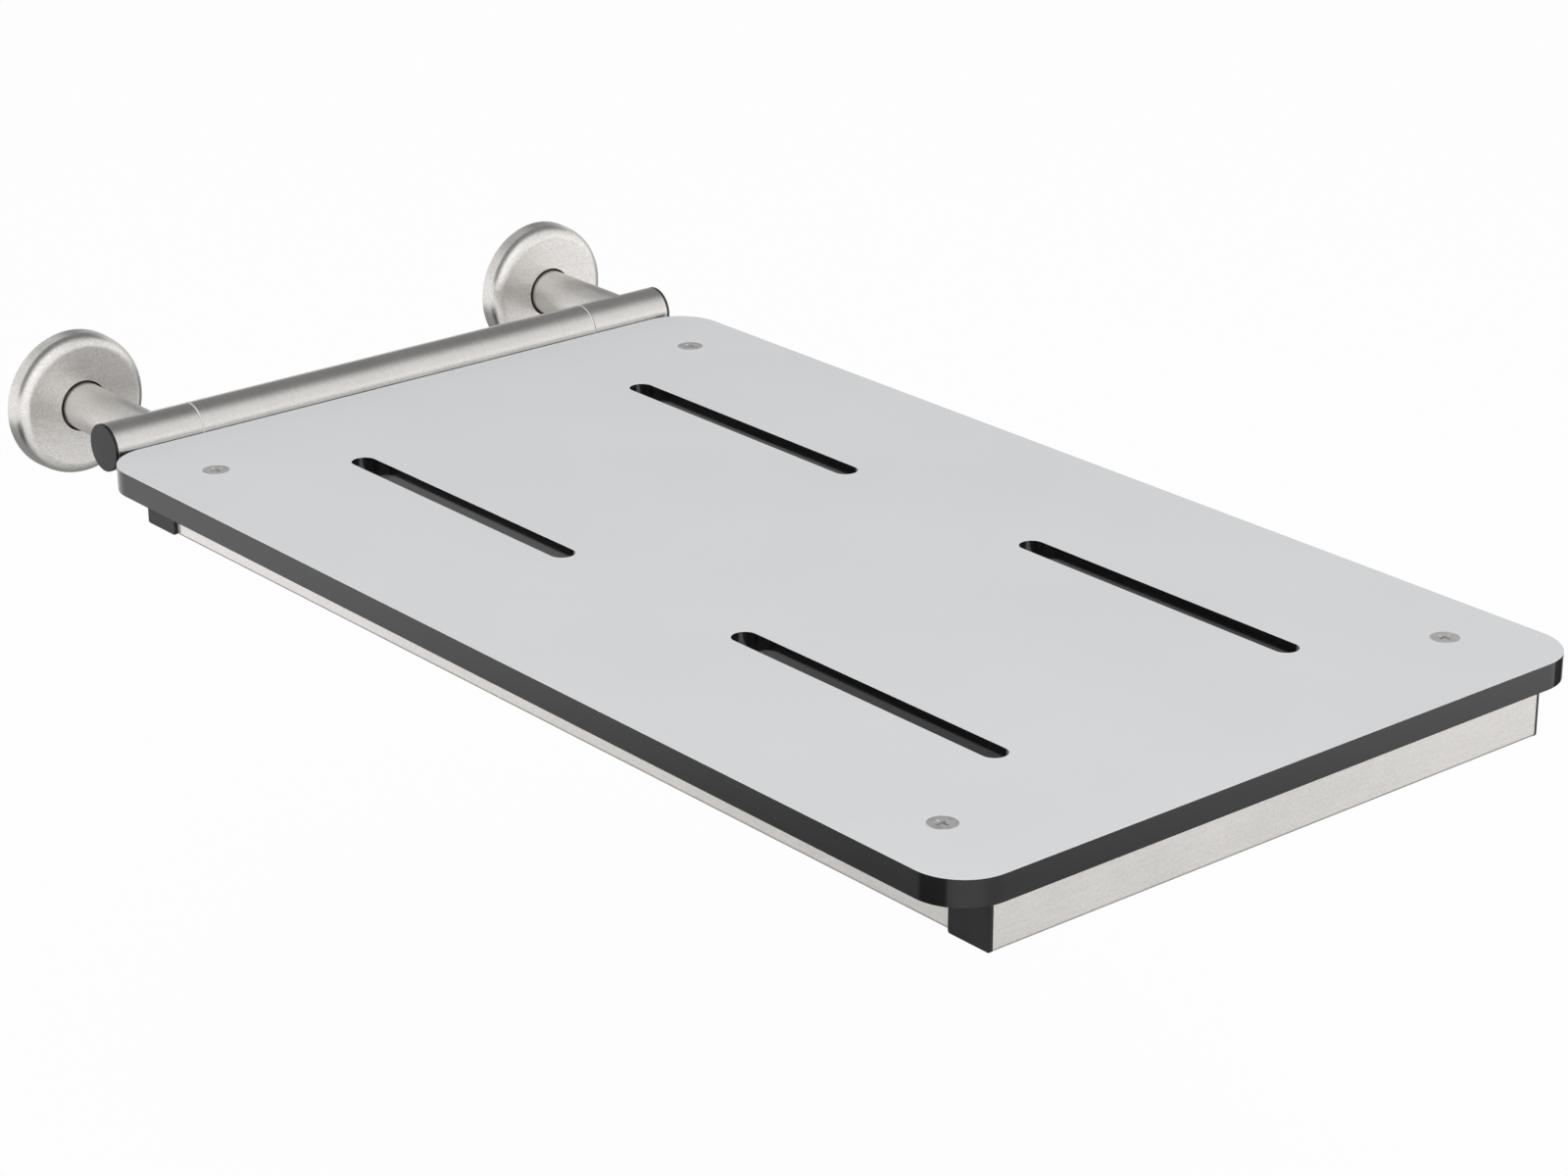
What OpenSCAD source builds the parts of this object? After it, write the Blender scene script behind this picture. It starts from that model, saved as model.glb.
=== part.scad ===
// Wall-mounted tub seat: a slotted board on a square-tube frame, hinged on two wall posts.
// The origin is on the wall, midway between the posts, at the height of the hinge and the board's top.
// +X is to the right for someone who faces the wall, +Y goes into the wall and +Z is up.

/* [Seat board] */
// Width of the board, side to side
board_w = 381; // [350:1:460]
// Depth of the board, rear edge to front edge
board_d = 644.5; // [480:0.5:760]
// Thickness of the board
board_t = 12.7; // [9:0.1:20]
// Radius of the board's corners
board_corner_r = 25.4; // [4:0.1:60]
// Width of a drain slot
slot_w = 12.7; // [6:0.1:20]
// Length of a drain slot over its round ends
slot_len = 177.8; // [60:0.1:200]
// Distance from the board's side to the middle of a slot
slot_side_inset = 101.6; // [70:0.1:130]
// Distance from the board's front or rear edge to the middle of a slot
slot_inset = 171.45; // [150:0.05:230]

/* [Hinge tube] */
// Distance from the wall to the axis of the hinge
hinge_offset = 76.2; // [60:0.1:110]
// Outer diameter of the hinge tube
tube_d = 25; // [22:0.1:32]
// Wall of the hinge tube
tube_wall = 1.5; // [1:0.1:2.5]
// Length of a fixed end sleeve, which is centred on its post
sleeve_len = 50.2; // [44:0.1:60]
// Gap between the tube and the board's rear edge
board_gap = 0.55; // [0.4:0.05:3]
// Diameter of the shaft inside the tube
shaft_d = 16; // [12:0.1:17]
// Gap between the collar that carries the shaft and the stem of the tube cap
collar_gap = 8.2; // [0.5:0.1:12]
// Length of a bush inside the turning tube
bush_len = 20; // [10:0.5:30]
// Thickness of a bush's flange, seen as a fine line at the seam
bush_flange_t = 0.8; // [0.5:0.1:2]
// How far a bush's flange lies below the tube's surface
bush_sink = 0.15; // [0.1:0.05:1]
// Thickness of the lip of a tube cap
tube_cap_lip = 1.6; // [0.8:0.1:4]
// Length of a tube cap's stem inside the tube
tube_cap_stem = 10; // [6:0.5:14]

/* [Wall posts and flanges] */
// Distance from the board's side to the middle of a post
post_inset = 38.1; // [20:0.1:60]
// Outer diameter of a post
post_d = 25; // [20:0.1:26]
// Wall of a post
post_wall = 2; // [1:0.1:3]
// Diameter of a flange cover at the wall
cover_d = 76.2; // [72:0.1:90]
// Depth of a flange cover, wall to face
cover_depth = 13.1; // [12:0.1:20]
// Radius of the shoulder between the cover's side and its face
cover_round = 6.6; // [2:0.1:7]
// Sheet thickness of a flange cover
cover_wall = 1.2; // [0.6:0.1:1.8]
// Slope of the cover's side, in degrees
cover_draft = 2.5; // [0:0.5:5]
// Gap between a post and the hole in its cover
cover_gap = 1.1; // [0.4:0.1:2]
// Thickness of a wall plate
plate_t = 4.8; // [3:0.1:6]
// Circle through the middles of a plate's screw holes
plate_pcd = 50.8; // [46:0.1:54]
// Diameter of a plate's screw holes
plate_hole_d = 7.1; // [5:0.1:8]

/* [Frame] */
// Side of the square tube
beam = 25; // [22:0.1:32]
// Wall of the square tube
beam_wall = 1.5; // [1:0.1:2.5]
// Radius of the square tube's outer edges
beam_edge_r = 1.6; // [0.5:0.1:2.5]
// Distance from the board's side to the end of a cross beam, without its plug
frame_side_inset = 25.4; // [10:0.1:40]
// Distance from the board's front and rear edges to the frame
frame_inset = 6.35; // [2:0.05:20]
// Thickness of the lip of a square plug
plug_lip = 1.8; // [1:0.1:4]
// Radius of the corners of a plug's lip
plug_corner_r = 1.3; // [0.5:0.1:4]
// Length of a plug's stem inside the tube
plug_stem = 20; // [10:0.5:24]
// Wall of a plug's hollow stem
plug_wall = 2; // [1:0.1:4]
// Thickness of a hinge lug
lug_t = 6.35; // [4:0.05:12]
// Distance from the middle of a post to the middle of a lug
lug_inset = 50.8; // [40:0.1:90]

/* [Seat fasteners] */
// Diameter of a seat screw's shank
screw_d = 6.35; // [5:0.05:7]
// Length of a seat screw
screw_len = 22.2; // [21.6:0.1:23]
// Diameter of a seat screw's flat head
head_d = 13.2; // [11:0.1:15]
// Angle of the countersunk head, in degrees
head_angle = 82; // [80:1:92]
// Straight edge of the head above its cone
head_land = 0.3; // [0.1:0.1:0.8]
// Distance from the board's front or rear edge to a seat screw
screw_inset = 50.8; // [45:0.1:100]
// Diameter of the nut welded inside a side beam
nut_d = 12.7; // [10:0.1:16]
// Height of the nut
nut_h = 6.5; // [5:0.1:7]
// Diameter of the grub screw that locks the shaft
grub_d = 6; // [4:0.5:8]

/* [Hidden] */
$fn = 96;

// Overrun of every cut past the face that it opens
over = 1;
// Gap between round pieces that are pressed or welded together
press_gap = 0.05;
// Radial clearance of the bushes on the shaft
run_gap = 0.05;
// End play of the turning tube at each seam
end_play = 0.2;
// Gap between the wall plate's rim and the inside of its cover
plate_gap = 0.5;
// Gap around a plug's stem
plug_gap = 0.1;
// Gap between a thread and its tapped hole
thread_gap = 0.05;
// Gap around a seat screw's shank in the board and the beam
shank_gap = 0.35;
// Gap between a screw's head and its countersink
head_gap = 0.1;
// Depth of the spot in the shaft that a grub screw bites into
spot_depth = 1.5;
// How far a grub screw lies below the tube's surface
grub_sink = 0.3;
// Across flats and depth of a grub screw's hexagon socket
grub_socket = 3;
grub_socket_depth = 2.5;
// Radius on the outer edge of a tube cap, and wall of its hollow stem
tube_cap_round = 0.3;
tube_cap_wall = 2;
// Cross recess of a seat screw: blade width, span at the top and at the bottom, and depth
recess_w = 1.3;
recess_span = 6.6;
recess_foot = 2.2;
recess_depth = 3.2;
// Gap between a hinge lug's top and the board
lug_gap = 0.5;
// Height of the lug's front face that stays clear of the beam's lower edge
lug_foot = 2;
// Wrap of a lug's saddle round the tube, in degrees from straight down
saddle_angle = 45;
// Depth of metal under the tube at the saddle's rear edge
saddle_t = 6;

tube_r = tube_d / 2;
tube_bore = tube_d - 2 * tube_wall;
post_r = post_d / 2;
post_x = board_w / 2 - post_inset;
sleeve_in = post_x - sleeve_len / 2;
sleeve_out = post_x + sleeve_len / 2;
collar_end = sleeve_out - tube_cap_stem - collar_gap;
flange_end = sleeve_in - end_play;
turning_end = flange_end - bush_flange_t;
grub_x = (sleeve_in + post_x - post_r) / 2;
grub_top = tube_r - grub_sink;
grub_tip = shaft_d / 2 - spot_depth;

cover_slope = tan(cover_draft);
cover_inner_r = cover_d / 2 - cover_wall / cos(cover_draft);
plate_r = cover_inner_r - plate_t * cover_slope - plate_gap;

board_back = hinge_offset + tube_r + board_gap;
board_mid = board_back + board_d / 2;
slot_x = board_w / 2 - slot_side_inset;
frame_w = board_w - 2 * frame_side_inset;
lug_x = post_x - lug_inset;
beam_axis_z = -board_t - beam / 2;
beam_x = (frame_w - beam) / 2;
rear_beam_y = board_back + frame_inset + beam / 2;
front_beam_y = board_back + board_d - frame_inset - beam / 2;
side_beam_len = front_beam_y - rear_beam_y - beam;
screw_y = board_d / 2 - screw_inset;

steel = [0.80, 0.79, 0.77];
bright_steel = [0.70, 0.70, 0.71];
black_plastic = [0.13, 0.13, 0.14];
board_grey = [0.83, 0.83, 0.84];
nylon = [0.95, 0.95, 0.93];

// Square with true round corners, centred on the origin
module rounded_square(w, h, r) {
    square([w - 2 * r, h], center = true);
    square([w, h - 2 * r], center = true);
    for (sx = [-1, 1], sy = [-1, 1])
        translate([sx * (w / 2 - r), sy * (h / 2 - r)]) circle(r = r);
}

// Slot outline along Y with round ends, centred on the origin
module slot_outline(w, length) {
    square([w, length - w], center = true);
    for (sy = [-1, 1])
        translate([0, sy * (length - w) / 2]) circle(d = w);
}

// Turns a shape that stands along Z to lie along +X
module along_x() {
    rotate([0, 90, 0]) children();
}

// Turns a shape that stands along Z to point away from the wall, along -Y
module off_wall() {
    rotate([90, 0, 0]) children();
}

// Round bar on the hinge axis between two places along X
module axis_bar(d, from, to) {
    translate([from, -hinge_offset, 0]) along_x() cylinder(d = d, h = to - from);
}

// Round tube on the hinge axis between two places along X
module axis_tube(outer_d, inner_d, from, to) {
    difference() {
        axis_bar(outer_d, from, to);
        axis_bar(inner_d, from - over, to + over);
    }
}

// Round bar that points down from the hinge axis, between two distances from it
module grub_bar(d, top, tip) {
    translate([grub_x, -hinge_offset, -top]) cylinder(d = d, h = top - tip);
}

// Square tube that stands along Z, centred on its own middle
module square_tube(length) {
    difference() {
        linear_extrude(length, center = true) rounded_square(beam, beam, beam_edge_r);
        cube([beam - 2 * beam_wall, beam - 2 * beam_wall, length + 2 * over], center = true);
    }
}

// Puts its children at the four seat screws, on top of the board
module at_seat_screws() {
    for (sx = [-1, 1], sy = [-1, 1])
        translate([sx * beam_x, -board_mid + sy * screw_y, 0]) children();
}

// Wall plate of the right side
module wall_plate() {
    translate([post_x, 0, 0]) off_wall() difference() {
        cylinder(r = plate_r, h = plate_t);
        for (turn = [45:90:315])
            rotate([0, 0, turn]) translate([plate_pcd / 2, 0, -over])
                cylinder(d = plate_hole_d, h = plate_t + 2 * over);
    }
}

// Post of the right side, its front end coped to the round of the sleeve
module post() {
    difference() {
        translate([post_x, -plate_t, 0]) off_wall() difference() {
            cylinder(d = post_d, h = hinge_offset - plate_t);
            translate([0, 0, -over]) cylinder(d = post_d - 2 * post_wall, h = hinge_offset + over);
        }
        translate([post_x - post_d, -hinge_offset, 0]) along_x()
            cylinder(r = tube_r + press_gap, h = 2 * post_d);
    }
}

// Half section of a cover: a sloping side, a round shoulder and a flat face
module cover_section(back_r, depth, round, below) {
    centre = back_r - (depth - round) * cover_slope - round / cos(cover_draft);
    polygon([
        [0, -below],
        [back_r + below * cover_slope, -below],
        [centre + round * cos(cover_draft), depth - round + round * sin(cover_draft)],
        [centre, depth - round],
        [centre, depth],
        [0, depth]
    ]);
    translate([centre, depth - round]) circle(r = round);
}

// Flange cover of the right side
module flange_cover() {
    translate([post_x, 0, 0]) off_wall() difference() {
        rotate_extrude() cover_section(cover_d / 2, cover_depth, cover_round, 0);
        rotate_extrude()
            cover_section(cover_inner_r, cover_depth - cover_wall, cover_round - cover_wall, over);
        cylinder(d = post_d + 2 * cover_gap, h = cover_depth + over);
    }
}

// Fixed outer length of the hinge tube, on the right
module end_sleeve() {
    difference() {
        axis_tube(tube_d, tube_bore, sleeve_in, sleeve_out);
        grub_bar(grub_d + 2 * press_gap, tube_r + over, shaft_d / 2);
    }
}

// Collar that holds the shaft in the right sleeve
module shaft_collar() {
    difference() {
        axis_tube(tube_bore - 2 * press_gap, shaft_d + 2 * press_gap, sleeve_in, collar_end);
        grub_bar(grub_d + 2 * thread_gap, tube_r, shaft_d / 2 - over);
    }
}

// Grub screw of the right sleeve, with its hexagon socket
module shaft_screw() {
    difference() {
        grub_bar(grub_d, grub_top, grub_tip);
        translate([grub_x, -hinge_offset, -grub_top - over])
            cylinder(d = grub_socket / cos(30), h = grub_socket_depth + over, $fn = 6);
    }
}

// Black push-in cap of the right sleeve
module tube_cap() {
    stem_d = tube_bore - 2 * press_gap;
    translate([sleeve_out, -hinge_offset, 0]) along_x() {
        rotate_extrude() {
            square([tube_r - tube_cap_round, tube_cap_lip]);
            square([tube_r, tube_cap_lip - tube_cap_round]);
            translate([tube_r - tube_cap_round, tube_cap_lip - tube_cap_round])
                circle(r = tube_cap_round);
        }
        translate([0, 0, -tube_cap_stem]) difference() {
            cylinder(d = stem_d, h = tube_cap_stem);
            translate([0, 0, -over])
                cylinder(d = stem_d - 2 * tube_cap_wall, h = tube_cap_stem + over);
        }
    }
}

// Flanged bush of the right end
module bush() {
    difference() {
        union() {
            axis_bar(tube_bore - 2 * press_gap, turning_end - bush_len, turning_end);
            axis_bar(tube_d - 2 * bush_sink, turning_end, flange_end);
        }
        axis_bar(shaft_d + 2 * run_gap, turning_end - bush_len - over, flange_end + over);
    }
}

// Plate that joins the turning tube to the rear beam, on the right
module hinge_lug() {
    top = -board_t - lug_gap;
    front = -rear_beam_y + beam / 2;
    foot = beam_axis_z - beam / 2 + beam_edge_r + lug_foot;
    reach = (tube_r + saddle_t) * sin(saddle_angle);
    drop = (tube_r + saddle_t) * cos(saddle_angle);
    wrap = tube_r * sin(saddle_angle);
    translate([lug_x - lug_t / 2, 0, 0]) rotate([90, 0, 90]) linear_extrude(lug_t) difference() {
        polygon([
            [front, top],
            [-hinge_offset - wrap, top],
            [-hinge_offset - wrap, -wrap],
            [-hinge_offset, 0],
            [-hinge_offset + wrap, -wrap],
            [-hinge_offset + reach, -drop],
            [front, foot]
        ]);
        translate([-hinge_offset, 0]) circle(r = tube_r + press_gap);
    }
}

// Cross beam at a distance from the wall
module cross_beam(y) {
    translate([0, -y, beam_axis_z]) along_x() square_tube(frame_w);
}

// Side beam of the right side, with the holes of its seat screws
module side_beam() {
    difference() {
        translate([beam_x, -(rear_beam_y + front_beam_y) / 2, beam_axis_z])
            off_wall() square_tube(side_beam_len);
        at_seat_screws() translate([0, 0, -board_t - beam_wall - over])
            cylinder(d = screw_d + 2 * shank_gap, h = beam_wall + 2 * over);
    }
}

// Square plug in the right end of a cross beam at a distance from the wall
module square_plug(y) {
    stem = beam - 2 * beam_wall - 2 * plug_gap;
    hollow = stem - 2 * plug_wall;
    translate([frame_w / 2, -y, beam_axis_z]) along_x() {
        linear_extrude(plug_lip) rounded_square(beam, beam, plug_corner_r);
        translate([0, 0, -plug_stem]) linear_extrude(plug_stem) difference() {
            square([stem, stem], center = true);
            square([hollow, hollow], center = true);
        }
    }
}

// Flat-head screw from a place above the board's top down, its head and its shank grown by a gap each
module screw_form(head_grow, shank_grow, above, length) {
    head_r = head_d / 2 + head_grow;
    shank_r = screw_d / 2 + shank_grow;
    cone_h = (head_r - shank_r) / tan(head_angle / 2);
    rotate_extrude() polygon([
        [0, above],
        [head_r, above],
        [head_r, -head_land],
        [shank_r, -head_land - cone_h],
        [shank_r, -length],
        [0, -length]
    ]);
}

// Cross recess of a seat screw
module cross_recess() {
    for (turn = [0, 90])
        rotate([90, 0, turn]) linear_extrude(recess_w, center = true) polygon([
            [-recess_foot / 2, -recess_depth],
            [recess_foot / 2, -recess_depth],
            [recess_span / 2, 0],
            [recess_span / 2, over],
            [-recess_span / 2, over],
            [-recess_span / 2, 0]
        ]);
}

module right_wall_plate() { color(bright_steel) wall_plate(); }
module left_wall_plate() { color(bright_steel) mirror([1, 0, 0]) wall_plate(); }
module right_post() { color(steel) post(); }
module left_post() { color(steel) mirror([1, 0, 0]) post(); }
module right_flange_cover() { color(steel) flange_cover(); }
module left_flange_cover() { color(steel) mirror([1, 0, 0]) flange_cover(); }
module right_end_sleeve() { color(steel) end_sleeve(); }
module left_end_sleeve() { color(steel) mirror([1, 0, 0]) end_sleeve(); }
module right_shaft_collar() { color(bright_steel) shaft_collar(); }
module left_shaft_collar() { color(bright_steel) mirror([1, 0, 0]) shaft_collar(); }
module right_tube_cap() { color(black_plastic) tube_cap(); }
module left_tube_cap() { color(black_plastic) mirror([1, 0, 0]) tube_cap(); }
module right_bush() { color(nylon) bush(); }
module left_bush() { color(nylon) mirror([1, 0, 0]) bush(); }
module right_hinge_lug() { color(steel) hinge_lug(); }
module left_hinge_lug() { color(steel) mirror([1, 0, 0]) hinge_lug(); }
module right_side_beam() { color(steel) side_beam(); }
module left_side_beam() { color(steel) mirror([1, 0, 0]) side_beam(); }
module rear_beam() { color(steel) cross_beam(rear_beam_y); }
module front_beam() { color(steel) cross_beam(front_beam_y); }
module rear_right_plug() { color(black_plastic) square_plug(rear_beam_y); }
module rear_left_plug() { color(black_plastic) mirror([1, 0, 0]) square_plug(rear_beam_y); }
module front_right_plug() { color(black_plastic) square_plug(front_beam_y); }
module front_left_plug() { color(black_plastic) mirror([1, 0, 0]) square_plug(front_beam_y); }

// Turning middle of the hinge tube
module hinge_tube() {
    color(steel) axis_tube(tube_d, tube_bore, -turning_end, turning_end);
}

// Rod through the sleeves and the turning tube, spotted for the grub screws
module hinge_shaft() {
    color(bright_steel) difference() {
        axis_bar(shaft_d, -collar_end, collar_end);
        for (side = [0, 1])
            mirror([side, 0, 0]) grub_bar(grub_d + 2 * thread_gap, shaft_d / 2 + over, grub_tip);
    }
}

// Two grub screws that lock the shaft in the sleeves
module shaft_screws() {
    color(bright_steel) for (side = [0, 1]) mirror([side, 0, 0]) shaft_screw();
}

// Board with its drain slots and countersunk screw holes
module seat_board() {
    color(board_grey) difference() {
        translate([0, -board_mid, -board_t]) linear_extrude(board_t) difference() {
            rounded_square(board_w, board_d, board_corner_r);
            for (sx = [-1, 1], sy = [-1, 1])
                translate([sx * slot_x, sy * (board_d / 2 - slot_inset)]) slot_outline(slot_w, slot_len);
        }
        at_seat_screws() screw_form(head_gap, shank_gap, over, board_t + over);
    }
}

// Four flat-head screws through the board
module seat_screws() {
    color(bright_steel) at_seat_screws() difference() {
        screw_form(0, 0, 0, screw_len);
        cross_recess();
    }
}

// Four round nuts welded under the top wall of the side beams
module weld_nuts() {
    color(bright_steel) at_seat_screws() translate([0, 0, -board_t - beam_wall - nut_h]) difference() {
        cylinder(d = nut_d, h = nut_h);
        translate([0, 0, -over]) cylinder(d = screw_d + 2 * thread_gap, h = nut_h + 2 * over);
    }
}

left_wall_plate();
right_wall_plate();
left_post();
right_post();
left_flange_cover();
right_flange_cover();
left_end_sleeve();
right_end_sleeve();
left_shaft_collar();
right_shaft_collar();
hinge_shaft();
shaft_screws();
left_tube_cap();
right_tube_cap();
hinge_tube();
left_bush();
right_bush();
left_hinge_lug();
right_hinge_lug();
rear_beam();
front_beam();
left_side_beam();
right_side_beam();
rear_left_plug();
rear_right_plug();
front_left_plug();
front_right_plug();
seat_board();
seat_screws();
weld_nuts();
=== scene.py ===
"""Looks of the wall-mounted tub seat: a slotted laminate board on a square-tube frame that folds up."""

import math

import bmesh
import bpy
from mathutils import Matrix, Vector


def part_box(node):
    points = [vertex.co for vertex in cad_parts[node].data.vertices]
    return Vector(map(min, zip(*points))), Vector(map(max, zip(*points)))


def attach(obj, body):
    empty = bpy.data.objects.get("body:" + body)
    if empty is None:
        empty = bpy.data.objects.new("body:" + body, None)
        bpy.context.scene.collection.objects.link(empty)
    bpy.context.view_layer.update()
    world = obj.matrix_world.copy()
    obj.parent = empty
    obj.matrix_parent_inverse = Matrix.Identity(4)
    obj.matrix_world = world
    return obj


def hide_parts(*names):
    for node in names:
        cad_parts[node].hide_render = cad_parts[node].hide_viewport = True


bl_info = {
    "name": "Tub seat looks",
    "version": (1, 0, 0),
    "blender": (4, 5, 0),
    "location": "3D View > Sidebar > Tub seat",
    "description": "Makes the visible pieces of a wall-mounted tub seat around its packed frame",
    "category": "Object",
}

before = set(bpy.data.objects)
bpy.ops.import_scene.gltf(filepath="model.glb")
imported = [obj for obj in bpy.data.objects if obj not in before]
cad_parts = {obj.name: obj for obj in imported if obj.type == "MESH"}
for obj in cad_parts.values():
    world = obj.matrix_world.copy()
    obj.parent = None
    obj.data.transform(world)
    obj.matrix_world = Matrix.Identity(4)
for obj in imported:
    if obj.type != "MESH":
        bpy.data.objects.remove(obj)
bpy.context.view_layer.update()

MM = 0.001
SIDES = {"left": -1, "right": 1}
BOTH = (-1, 1)
FIT = 0.05 * MM
MERGE = 1e-6

BOARD_LOW, BOARD_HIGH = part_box("seat_board")
TUBE_LOW, TUBE_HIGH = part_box("hinge_tube")
BEAM_LOW, BEAM_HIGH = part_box("rear_beam")
POST_LOW, POST_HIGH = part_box("right_post")
HINGE = (TUBE_LOW + TUBE_HIGH) / 2
TUBE_R = (TUBE_HIGH.z - TUBE_LOW.z) / 2
POST_R = (POST_HIGH.x - POST_LOW.x) / 2
BEAM = BEAM_HIGH.z - BEAM_LOW.z


# Sizes and colours that a user may change

def length(name, description, millimetres):
    return bpy.props.FloatProperty(
        name=name, description=description, default=millimetres * MM, min=0.0,
        subtype="DISTANCE", unit="LENGTH", precision=5,
    )


def colour(name, description, red, green, blue):
    return bpy.props.FloatVectorProperty(
        name=name, description=description, default=(red, green, blue), min=0.0, max=1.0,
        size=3, subtype="COLOR",
    )


def share(name, description, value, most=1.0):
    return bpy.props.FloatProperty(
        name=name, description=description, default=value, min=0.0, max=most, subtype="FACTOR"
    )


class BoardLook(bpy.types.PropertyGroup):
    corner: length("Corner radius", "Radius of the board's corners in plan", 25.4)
    rim: length("Eased edge", "Radius of the eased edges of the board and its slots", 0.25)
    sheet: length("Face sheet", "Thickness of the grey face sheet over the black core", 0.13)
    trimmed: length("Trimmed sheet", "Height above the lower face at which the core begins", 0.01)
    slot_width: length("Slot width", "Width of a drain slot", 12.7)
    slot_length: length("Slot length", "Length of a drain slot over its round ends", 177.8)
    slot_from_side: length("Slot from side", "Board's side to the middle of a slot", 101.6)
    slot_from_end: length("Slot from end", "Board's front or rear edge to the middle of a slot", 171.45)
    hole: length("Countersink", "Diameter of a countersink at the board's face", 13.4)
    bore: length("Screw bore", "Diameter of a screw hole through the board", 7.05)
    land: length("Countersink edge", "Straight edge above the cone of a countersink", 0.3)
    face_colour: colour("Face", "Colour of the matt face sheet", 0.65, 0.66, 0.67)
    core_colour: colour("Core", "Colour of the polished black core", 0.006, 0.006, 0.0065)
    face_roughness: share("Face roughness", "Roughness of the matt face sheet", 0.55)
    core_roughness: share("Core roughness", "Roughness of the polished core", 0.1)


class SteelLook(bpy.types.PropertyGroup):
    tube_wall: length("Tube wall", "Wall of the round hinge tube", 1.5)
    post_wall: length("Post wall", "Wall of a post", 2.0)
    end_round: length("Cut ends", "Radius on the cut ends of the tubes", 0.2)
    cover_round: length("Cover shoulder", "Radius between a cover's side and its face", 6.6)
    cover_wall: length("Cover sheet", "Sheet thickness of a flange cover", 1.2)
    cover_gap: length("Cover gap", "Gap between a post and the hole of its cover", 1.1)
    plate_circle: length("Plate hole circle", "Circle through a wall plate's screw holes", 50.8)
    plate_hole: length("Plate holes", "Diameter of a wall plate's screw holes", 7.1)
    bead: length("Weld bead", "Radius of a weld bead", 1.7)
    brushed_colour: colour("Brushed steel", "Colour of the satin brushed tubes", 0.632, 0.614, 0.592)
    plain_colour: colour("Plain steel", "Colour of the hidden plates and lugs", 0.5, 0.495, 0.485)
    screw_colour: colour("Screw steel", "Colour of the screws", 0.72, 0.71, 0.697)
    roughness: share("Roughness", "Roughness of the brushed steel", 0.29)


class PlasticLook(bpy.types.PropertyGroup):
    lip_round: length("Plug edge", "Radius on the outer edge of a square plug", 0.3)
    corner: length("Plug corner", "Radius of a square plug's corners", 1.3)
    stem_wall: length("Stem wall", "Wall of the hollow stems of plugs and caps", 2.0)
    cap_round: length("Cap edge", "Radius on the outer edge of a tube cap", 0.3)
    black: colour("Black plastic", "Colour of the plugs and caps", 0.011, 0.011, 0.012)
    white: colour("White nylon", "Colour of the bushes", 0.66, 0.66, 0.645)
    ior: bpy.props.FloatProperty(
        name="Index", description="Refractive index of the plastic", default=1.34, min=1.0
    )
    roughness: share("Roughness", "Roughness of the black plastic", 0.3)


class StageLook(bpy.types.PropertyGroup):
    floor_drop: length("Floor", "Height of the hinge above the floor", 450.0)
    floor_size: length("Floor size", "Side of the square floor", 14000.0)
    lamp_size: length("Lamp size", "Side of the soft overhead lamp", 2600.0)
    lamp_power: bpy.props.FloatProperty(
        name="Lamp power", description="Power of the soft overhead lamp", default=33.0, min=0.0, unit="POWER"
    )
    room_light: share("Front light", "Brightness of the room in front of the seat", 1.05, 3.0)
    left_light: share("Left light", "Further brightness of the room in front, on the left", 0.45, 3.0)
    room_dark: share("Ceiling", "Brightness of the ceiling and of the room's rear side", 0.27)
    horizon: share("Horizon", "Brightness of the room at the level of the seat", 1.2, 3.0)
    window: share("Window", "Brightness of the window behind the seat, on the left", 0.75, 3.0)
    side_light: share("Side light", "Further brightness of the room on the right", 0.6, 3.0)
    rear_shade: share("Rear shade", "Loss of brightness behind the seat's level on the right", 0.6)
    underneath: share("Underneath", "Brightness that polished faces see from below", 0.34)
    table: share("Table", "Further brightness that polished faces see from below in front", 0.25)


LOOKS = {
    "tub_seat_board": BoardLook,
    "tub_seat_steel": SteelLook,
    "tub_seat_plastic": PlasticLook,
    "tub_seat_stage": StageLook,
}


# Finishes

class Value:
    """An output of a node. Sums with it add Math nodes to its finish."""

    def __init__(self, finish, socket):
        self.finish = finish
        self.socket = socket

    def maths(self, operation, first, second):
        return self.finish.node("ShaderNodeMath", {"operation": operation}, {0: first, 1: second})

    def __add__(self, other):
        return self.maths("ADD", self, other)

    def __sub__(self, other):
        return self.maths("SUBTRACT", self, other)

    def __rsub__(self, other):
        return self.maths("SUBTRACT", other, self)

    def __mul__(self, other):
        return self.maths("MULTIPLY", self, other)

    __radd__ = __add__
    __rmul__ = __mul__


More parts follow.
